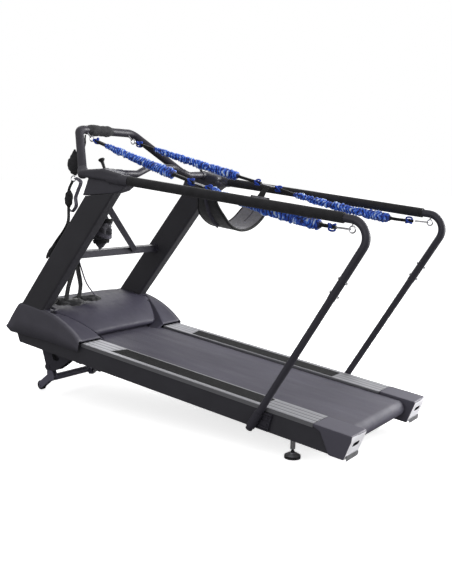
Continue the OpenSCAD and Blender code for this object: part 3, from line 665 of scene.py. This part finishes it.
# ---------- columns and hood ----------

COLUMN_V = (385, 455)
COLUMN_DEPTH = 175
COLUMN_FOOT = -14
COLUMN_SEAM = (808, 852)
COLUMN_RADIUS = 11
COLUMN_FRONT = -896
COLUMN_LEAN = 0.615
ARC_STEPS = 5
FLAT_MARGIN = 2


def column_front(h):
    return COLUMN_FRONT + COLUMN_LEAN * h


def rounded_outline(low, high, radius):
    """A rectangle with round corners. Extra points beside each arc keep the flats flat."""
    outline = []
    spans = ((high[0], high[1], 0), (low[0], high[1], 90), (low[0], low[1], 180), (high[0], low[1], 270))
    for corner_x, corner_y, start in spans:
        inward = (math.copysign(radius, (low[0] + high[0]) / 2 - corner_x),
                  math.copysign(radius, (low[1] + high[1]) / 2 - corner_y))
        centre = (corner_x + inward[0], corner_y + inward[1])
        for k in range(-1, ARC_STEPS + 2):
            angle = math.radians(start + 90 * min(max(k / ARC_STEPS, 0), 1))
            slip = FLAT_MARGIN * (min(k, 0) + max(k - ARC_STEPS, 0))
            outline.append((centre[0] + radius * math.cos(angle) - slip * math.sin(angle),
                            centre[1] + radius * math.sin(angle) + slip * math.cos(angle)))
    return outline


def make_column(side):
    outline = rounded_outline((0, COLUMN_V[0]), (COLUMN_DEPTH, COLUMN_V[1]), COLUMN_RADIUS)
    rings = []
    for share in (0, 0.004, 0.996, 1):
        ring = []
        for back, v in outline:
            top = COLUMN_SEAM[0] + (COLUMN_SEAM[1] - COLUMN_SEAM[0]) * back / COLUMN_DEPTH
            h = COLUMN_FOOT + (top - COLUMN_FOOT) * share
            ring.append(deck(column_front(h) + back, side * v, h))
        rings.append(ring)
    name = SIDE_NAMES[side] + "_column"
    made = piece(name + "_skin", skin_mesh(name, rings), ["column_paint"])
    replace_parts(made, name)


def cubic(a, b, c, d, count):
    """Points of a cubic curve with count steps, as (u, h) pairs."""
    points = []
    for k in range(count + 1):
        t = k / count
        weights = ((1 - t) ** 3, 3 * (1 - t) ** 2 * t, 3 * (1 - t) * t * t, t ** 3)
        points.append(tuple(sum(w * p[i] for w, p in zip(weights, (a, b, c, d))) for i in (0, 1)))
    return points


def steps_between(a, b, count):
    return [(a[0] + (b[0] - a[0]) * k / count, a[1] + (b[1] - a[1]) * k / count) for k in range(count)]


def level(table, u):
    """The height, at u, of a line given by (u, h) corners."""
    for (u0, h0), (u1, h1) in zip(table, table[1:]):
        if u <= u1:
            return h0 + (h1 - h0) * (max(u, u0) - u0) / (u1 - u0)
    return table[-1][1]


# Side view of the hood's centre and of a side cover, as (u, h) from front to rear
BELT_FOOT = -9
LIP_LINE = [(-409.5, 20), (-409, 14), (-411, 5), (-424, 4), (-426, BELT_FOOT)]
HOOD_LINE = (
    steps_between((-928, -36), (-852, 88), 8)
    + cubic((-852, 88), (-838, 112), (-815, 124), (-780, 124), 12)
    + cubic((-740, 124), (-610, 124), (-500, 92), (-412, 24), 34)
    + LIP_LINE
)
SIDE_LINE = (
    steps_between((-932, -38), (-850, 96), 8)
    + cubic((-850, 96), (-838, 112), (-815, 118), (-780, 117), 12)
    + cubic((-740, 116), (-590, 114), (-480, 92), (-346.5, 4), 34)
)
SIDE_FOOT = ((-932, -42), (-890, -64), (-590, -46), (-346.5, -46))
COVER_WALL = 0.003

# The seam between the centre and a side cover, as (u, v), and how far each stands from it
HOOD_EDGE = ((-960, 382), (-626, 382), (-616, 421), (-368, 292), (-340, 284))
CENTRE_GAP = 1
SIDE_OVERLAP = 7

# The step down from a side cover to the centre
STEP_SLOPE = 1.6
STEP_START = -640
STEP_DROP = 5
INNER_FOOT = 2
BELT_EDGE = 279

HOOD_CROWN = 12
SIDE_RISE = 8
SIDE_V = 458
RIDGE_RADIUS = 15
RIDGE_RISE = 4


def side_top(h):
    return h + SIDE_RISE * ease((h + 45) / 90)


def step_lean(u):
    """How far the step from a side cover down to the hood leans inwards: more where it is higher."""
    if u < STEP_START:
        return 0
    return STEP_SLOPE * max(0, side_top(level(SIDE_LINE, u)) - level(HOOD_LINE, u))


def make_hood():
    across_steps = 30
    rings = []
    for u, h in HOOD_LINE:
        half = level(HOOD_EDGE, u) - step_lean(u) - CENTRE_GAP
        crown = HOOD_CROWN * ease((h + 40) / 130)
        rings.append([deck(u, half * s, h + crown * (1 - s ** 4))
                      for s in (2 * k / across_steps - 1 for k in range(across_steps + 1))])
    mesh = skin_mesh("hood", rings, capped=False, thickness=COVER_WALL)
    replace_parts(piece("hood_skin", mesh, ["cover"]), "hood_cover")


def make_hood_side(side):
    rings = []
    for u, h in SIDE_LINE:
        inner = level(HOOD_EDGE, u) - SIDE_OVERLAP
        foot = level(SIDE_FOOT, u)
        top = max(side_top(h), foot + 3)
        radius = min(RIDGE_RADIUS, (top - foot) / 2)
        low = inner - step_lean(u)
        inner_foot = BELT_FOOT if low < BELT_EDGE else max(foot + 2, INNER_FOOT)
        rise = min(RIDGE_RISE, (top - foot) / 4)
        section = [(low, min(h - 2, inner_foot)), (low, min(top - 4, level(HOOD_LINE, u) - STEP_DROP))]
        section += [(inner, top - 4), (inner + 1.5, top - 1), (inner + 5, top)]
        section += [(inner + (SIDE_V - 2 * radius - inner) * share, top) for share in (0.15, 0.5, 0.96)]
        section += [(SIDE_V - radius * (1 - math.sin(angle)), top + rise - radius * (1 - math.cos(angle)))
                    for angle in (math.radians(15 * k) for k in range(-2, 7))]
        section += [(SIDE_V, top - radius + (foot - top + radius) * share) for share in (0.1, 0.5, 1)]
        rings.append([deck(u, side * v, height) for v, height in section])
    name = SIDE_NAMES[side] + "_hood_side"
    mesh = skin_mesh(name, rings, capped=False, thickness=COVER_WALL)
    made = piece(name + "_skin", mesh, ["side_cover", "cover"])
    for face in mesh.polygons:
        if abs(face.center.y) * 1000 < SIDE_V - 2 * RIDGE_RADIUS:
            face.material_index = 1
    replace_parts(made, name)


make_hood()
for each_side in SIDE_NAMES:
    make_column(each_side)
    make_hood_side(each_side)


# ---------- elastic cords ----------

# Each cord's route as the CAD model has it, on the right
FRONT_ROUTE = [(-620, 181, 1091), (-560, 191, 1080), (-400, 217, 1054), (-240, 243, 1029), (-80, 269, 1006),
               (80, 295, 985), (210, 316, 967)]
REAR_ROUTE = [(297, 329, 958), (420, 345, 935), (560, 362, 919), (700, 381, 906), (840, 399, 898),
              (980, 416, 894), (1050, 427, 896), (1086, 447, 898)]

# Where each sleeve starts and ends, as shares of its cord: the front one, then the rear one
SLEEVES = {LEFT: ((0.12, 0.83), (0.03, 0.9)), RIGHT: ((0.14, 0.84), (0.14, 0.86))}
SLEEVE_TAPER = 0.035
SLEEVE_THIN = 0.009
SLEEVE_GROWTH = 0.0125
SLEEVE_SWELL = 0.004
GATHER_PITCH = 0.019
GATHER_HEIGHT = 0.0115
CORD_SIDES = 26
CORD_RINGS = 460
STRAP_HALF_WIDTH = 0.0115
STRAP_HALF_DEPTH = 0.008
SLEEVE_HEM = 0.008
KNOT_SIZE = 0.006
KNOT_RADIUS = 0.0046
KNOT_STEPS = 72
KNOT_OFFSET = 0.022


def gather(angle, run, seed):
    """How far a gathered sleeve stands out here, from 0 in a fold to 1 on a ridge."""
    turn = Vector((math.cos(angle), math.sin(angle), 0))
    drift = noise.noise(turn * 0.8 + Vector((seed, 0, run * 14)))
    swell = noise.noise(turn * 1.3 + Vector((0, seed, run * 42)))
    crease = noise.noise(turn * 3.1 + Vector((seed, seed, run * 110)))
    ridge = abs(math.sin(math.pi * run / GATHER_PITCH + drift * 4.2 + seed)) ** 0.8
    return min(max(ridge * (0.62 + 0.75 * swell) + 0.22 * crease, 0.0), 1.0)


def make_cord(name, route, side, sleeve, seed):
    line = spaced(smooth_line([deck(u, side * v, h) for u, v, h in route], 12), CORD_RINGS)
    length = line_length(line)
    strap = flat_ring(STRAP_HALF_WIDTH, STRAP_HALF_DEPTH, CORD_SIDES)
    ridges = []

    def section(i):
        share = i / (len(line) - 1)
        body = ease((share - sleeve[0]) / SLEEVE_TAPER) * ease((sleeve[1] - share) / SLEEVE_TAPER)
        along = min(max((share - sleeve[0]) / (sleeve[1] - sleeve[0]), 0), 1)
        swell = noise.noise(Vector((share * 9, seed, 0)))
        plump = SLEEVE_THIN + SLEEVE_GROWTH * along + SLEEVE_SWELL * swell
        ring = []
        for k in range(CORD_SIDES):
            angle = 2 * math.pi * k / CORD_SIDES
            stand = gather(angle, share * length, seed)
            ridges.append(stand * body)
            radius = plump + GATHER_HEIGHT * stand
            ring.append((radius * math.cos(angle), radius * math.sin(angle)))
        return mixed_ring(strap, ring, body)

    mesh = swept_mesh(name, line, section)
    # How far each point stands out, kept so the sleeve material can paint highlights on the ridges and shade in
    # the folds
    mesh.attributes.new("ridge", "FLOAT", "POINT").data.foreach_set("value", ridges)
    made = piece(name, mesh, ["sleeve", "webbing"])
    for face in mesh.polygons:
        share = sum(v // CORD_SIDES for v in face.vertices) / len(face.vertices) / (len(line) - 1)
        covered = sleeve[0] + SLEEVE_HEM < share < sleeve[1] - SLEEVE_HEM
        face.material_index = 0 if covered else 1
    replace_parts(made, SIDE_NAMES[side] + "_bungees")
    return made


def make_knot(name, place, ahead, holder):
    """A trefoil knot of thin cord round a strap's end."""
    loop = []
    turn = Vector((0, 0, 1)).rotation_difference(ahead)
    for k in range(KNOT_STEPS):
        t = 2 * math.pi * k / KNOT_STEPS
        loop.append(place + turn @ Vector((
            KNOT_SIZE * (math.sin(t) + 2 * math.sin(2 * t)),
            KNOT_SIZE * (math.cos(t) - 2 * math.cos(2 * t)),
            -KNOT_SIZE * 2.4 * math.sin(3 * t),
        )))
    mesh = swept_mesh(name, loop, lambda i: round_ring(KNOT_RADIUS, 10), closed=True)
    piece(name, mesh, ["knot_cord"], holder=holder)


def make_elastic_cords():
    for side, word in SIDE_NAMES.items():
        front_sleeve, rear_sleeve = SLEEVES[side]
        for label, route, sleeve, seed in (("front", FRONT_ROUTE, front_sleeve, 2.0),
                                           ("rear", REAR_ROUTE, rear_sleeve, 6.0)):
            cord = make_cord(f"{word}_{label}_bungee", route, side, sleeve, seed + side)
            for ending, spot, near in (("_start_knot", 0, 1), ("_knot", -1, -2)):
                end, inward = (deck(u, side * v, h) for u, v, h in (route[spot], route[near]))
                ahead = (inward - end).normalized()
                make_knot(cord.name + ending, end + ahead * KNOT_OFFSET, ahead, cord)


make_elastic_cords()


# ---------- waist belt ----------

# An arc about a line along U at height SLING_TOP, narrowed over its last SLING_NARROWING degrees
SLING_U = 255
SLING_TOP = 1012
SLING_RADIUS = 278
SLING_HALF_TURN = 66
SLING_HALF_WIDTH = 80
SLING_NARROWING = 26
SLING_HALF_DEPTH = 6.5
SLING_RINGS = 90
SLING_SIDES = 28
CHANNEL_AT = 0.42


def sling_place(turn, u=SLING_U, inward=0.0):
    angle = math.radians(turn)
    radius = SLING_RADIUS - inward
    return deck(u, radius * math.sin(angle), SLING_TOP - radius * math.cos(angle))


def sling_half_width(turn):
    over = abs(turn) - (SLING_HALF_TURN - SLING_NARROWING)
    return SLING_HALF_WIDTH - 26 * ease(over / SLING_NARROWING)


def make_sling():
    turns = [SLING_HALF_TURN * (2 * k / (SLING_RINGS - 1) - 1) for k in range(SLING_RINGS)]
    section = flat_ring(1.0, 1.0, SLING_SIDES)
    rings = []
    for turn in turns:
        ring = []
        for a, b in section:
            quilt = 1.6 * noise.noise(Vector((turn * 0.11, a * 2.4, b)))
            channel = 1.5 * (1 - min(abs(abs(a) - CHANNEL_AT) / 0.1, 1)) if b > 0 else 0
            inward = b * (SLING_HALF_DEPTH + quilt) - channel
            ring.append(sling_place(turn, SLING_U + a * sling_half_width(turn), inward))
        rings.append(ring)
    band = piece("waist_belt_band", skin_mesh("waist_belt_band", rings), ["padding", "lining"])
    for face in band.data.polygons:
        centre = face.center - sling_place(0, SLING_U, SLING_RADIUS)
        if face.normal.dot(Vector((0, centre.y, centre.z)).normalized()) < -0.5:
            face.material_index = 1
    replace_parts(band, "waist_belt")
    for edge, word in ((-1, "front"), (1, "rear")):
        line = [sling_place(turn, SLING_U + edge * sling_half_width(turn), 0) for turn in turns]
        mesh = swept_mesh("binding", line, lambda i: round_ring(0.0075, 10))
        piece(f"waist_belt_binding_{word}", mesh, ["webbing"], holder=band)
    for side, word in SIDE_NAMES.items():
        tip = sling_place(side * (SLING_HALF_TURN - 3))
        line = spaced([tip, deck(SLING_U, side * 275, 922), deck(253, side * 319, 957)], 14)
        up = turned(0, side, -1)
        mesh = swept_mesh("lug", line, lambda i: flat_ring(0.024 - 0.0008 * i, 0.0028, 20), up=up)
        piece(f"waist_belt_{word}_lug", mesh, ["webbing"], holder=band)
        line = [sling_place(side * turn, SLING_U + 4, -9) for turn in range(26, SLING_HALF_TURN + 1, 2)]
        mesh = swept_mesh("outer_strap", line, lambda i: flat_ring(0.019, 0.0022, 20), up=turned(1, 0, 0))
        piece(f"waist_belt_{word}_strap", mesh, ["grey_webbing"], holder=band)


make_sling()


# ---------- harness, straps and hanging grips ----------

LUMP_RINGS = 54
LUMP_SIDES = 30
STRAP_RINGS = 60


def lumpy(name, spine, radii, look, seed, flatten, crease, up=(0, 1, 0)):
    """A closed, padded form round a spine. Its radii run evenly along it."""
    line = spaced(smooth_line([deck(*p) for p in spine], 10), LUMP_RINGS)

    def section(i):
        share = i / (len(line) - 1)
        at = share * (len(radii) - 1)
        low = min(int(at), len(radii) - 2)
        radius = radii[low] + (radii[low + 1] - radii[low]) * ease(at - low)
        ring = []
        for k in range(LUMP_SIDES):
            angle = 2 * math.pi * k / LUMP_SIDES
            turn = Vector((math.cos(angle), math.sin(angle), 0))
            broad = noise.noise(turn * 1.6 + Vector((seed, 0, share * 5)))
            fine = noise.noise(turn * 3.6 + Vector((0, seed, share * 13)))
            out = radius * (1 + crease * 1.6 * (broad + 0.5 * fine)) / 1000
            ring.append((out * math.cos(angle), flatten * out * math.sin(angle)))
        return ring

    return piece(name, swept_mesh(name, line, section, up=Vector(up)), [look])


def make_strap(name, route, width, look, thickness=0.0026, up=(1, 0, 0)):
    """A free flat strap through places of the deck's frame."""
    line = spaced(smooth_line([deck(*p) for p in route], 10), STRAP_RINGS)
    mesh = swept_mesh(name, line, lambda i: flat_ring(width / 2, thickness / 2, 20), up=turned(*up))
    made = piece(name, mesh, [look])
    return made


def make_harness():
    spine = [(-366, -300, 700), (-378, -300, 640), (-392, -302, 570), (-398, -300, 508)]
    radii = (8, 34, 50, 44, 40, 26, 6)
    bundle = lumpy("harness_pad", spine, radii, "harness_cloth", 3.1, 0.75, 0.3)
    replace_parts(bundle, "harness_bundle")
    loops = ((668, 44, 14, "webbing"), (606, 52, -16, "grey_webbing"), (556, 46, 10, "webbing"))
    for n, (h, radius, drop, look) in enumerate(loops):
        middle = -372 - (700 - h) * 0.13
        loop = []
        for k in range(48):
            angle = 2 * math.pi * k / 48
            u = middle + radius * math.cos(angle)
            v = -300 + 0.82 * radius * math.sin(angle)
            loop.append(deck(u, v, h + drop * math.cos(angle)))
        up = turned(0, 0, 1)
        mesh = swept_mesh("harness_loop", loop, lambda i: flat_ring(0.0022, 0.011, 16), up=up, closed=True)
        piece(f"harness_loop_{n}", mesh, [look], holder=bundle)


def make_strap_set():
    top = (-565, -300, 424)
    near_route = [top, (-568, -318, 350), (-577, -335, 260), (-590, -330, 178)]
    far_route = [top, (-566, -278, 350), (-575, -240, 260), (-588, -232, 180)]
    thin_route = [(-560, -290, 424), (-556, -262, 360), (-560, -205, 270), (-600, -80, 176)]
    for strap in (
            make_strap("near_cuff_strap", near_route, 0.034, "webbing"),
            make_strap("far_cuff_strap", far_route, 0.034, "webbing"),
            make_strap("thin_cuff_cord", thin_route, 0.007, "grey_webbing", thickness=0.006)):
        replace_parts(strap, "strap_set")
    for name, spine, radii, seed in (
            ("near_cuff", [(-640, -372, 160), (-618, -330, 162), (-585, -270, 162), (-560, -215, 160)],
             (10, 22, 24, 20, 24, 22, 10), 1.3),
            ("far_cuff", [(-662, -205, 158), (-640, -150, 160), (-615, -95, 160), (-590, -42, 158)],
             (8, 18, 22, 20, 22, 18, 8), 5.2),
            ("low_cuff", [(-622, -372, 190), (-650, -386, 158), (-680, -394, 134)],
             (10, 22, 24, 18, 8), 8.7)):
        cuff = lumpy(name, spine, radii, "padding", seed, 0.9, 0.2, up=(0, 0, 1))
        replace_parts(cuff, "strap_set")


def make_hanging_grips():
    spine = [(-606, -345, 1034), (-602, -345, 985), (-596, -345, 935), (-584, -345, 893)]
    radii = (6, 17, 30, 42, 47, 44, 30, 8)
    pad = lumpy("hanging_pad", spine, radii, "foam", 4.4, 0.55, 0.08)
    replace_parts(pad, "hanging_handles")

    turns = [math.pi * k / 18 for k in range(36)]
    ring = [deck(-598 + 16 * math.cos(turn), -345, 873 + 16 * math.sin(turn)) for turn in turns]
    mesh = swept_mesh("ring", ring, lambda i: round_ring(0.0028, 10), up=turned(0, 1, 0), closed=True)
    piece("hanging_ring", mesh, ["chrome"], holder=pad)

    spine = [(-610, -430, 508), (-640, -431, 462), (-668, -431, 416)]
    lower = lumpy("lower_grip", spine, (6, 12, 14, 12, 6), "foam", 7.7, 0.9, 0.06)
    route = [(-600, -345, 862), (-622, -347, 812), (-618, -350, 760), (-598, -362, 700),
             (-566, -390, 640), (-566, -415, 590), (-606, -428, 520), (-664, -430, 425)]
    long_strap = make_strap("long_grip_strap", route, 0.022, "webbing")

    route = [(-584, -345, 880), (-545, -340, 862), (-562, -338, 812), (-575, -338, 770),
             (-564, -340, 726), (-588, -344, 690), (-604, -347, 702)]
    loop_strap = make_strap("loop_grip_strap", route, 0.026, "grey_webbing")
    spine = [(-616, -349, 806), (-616, -350, 760), (-606, -354, 712)]
    upper = lumpy("upper_grip", spine, (10, 22, 24, 22, 10), "foam", 7.7, 0.9, 0.06)
    for made in (lower, long_strap, loop_strap, upper):
        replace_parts(made, "hanging_handles")


def make_bar_wrap():
    spine = [(-703, v, 1140) for v in (-166, -100, -30, 38)]
    radii = (25, 31, 32, 30, 31, 32, 25)
    wrap = lumpy("bar_wrap", spine, radii, "foam", 2.6, 1.0, 0.07, up=(1, 0, 0))
    route = [(-703, -172, 1112), (-704, -171, 1090), (-702, -169, 1068), (-706, -170, 1040)]
    make_strap("wrap_strap", route, 0.011, "webbing", up=(0, 1, 0))


make_harness()
make_strap_set()
make_hanging_grips()
make_bar_wrap()
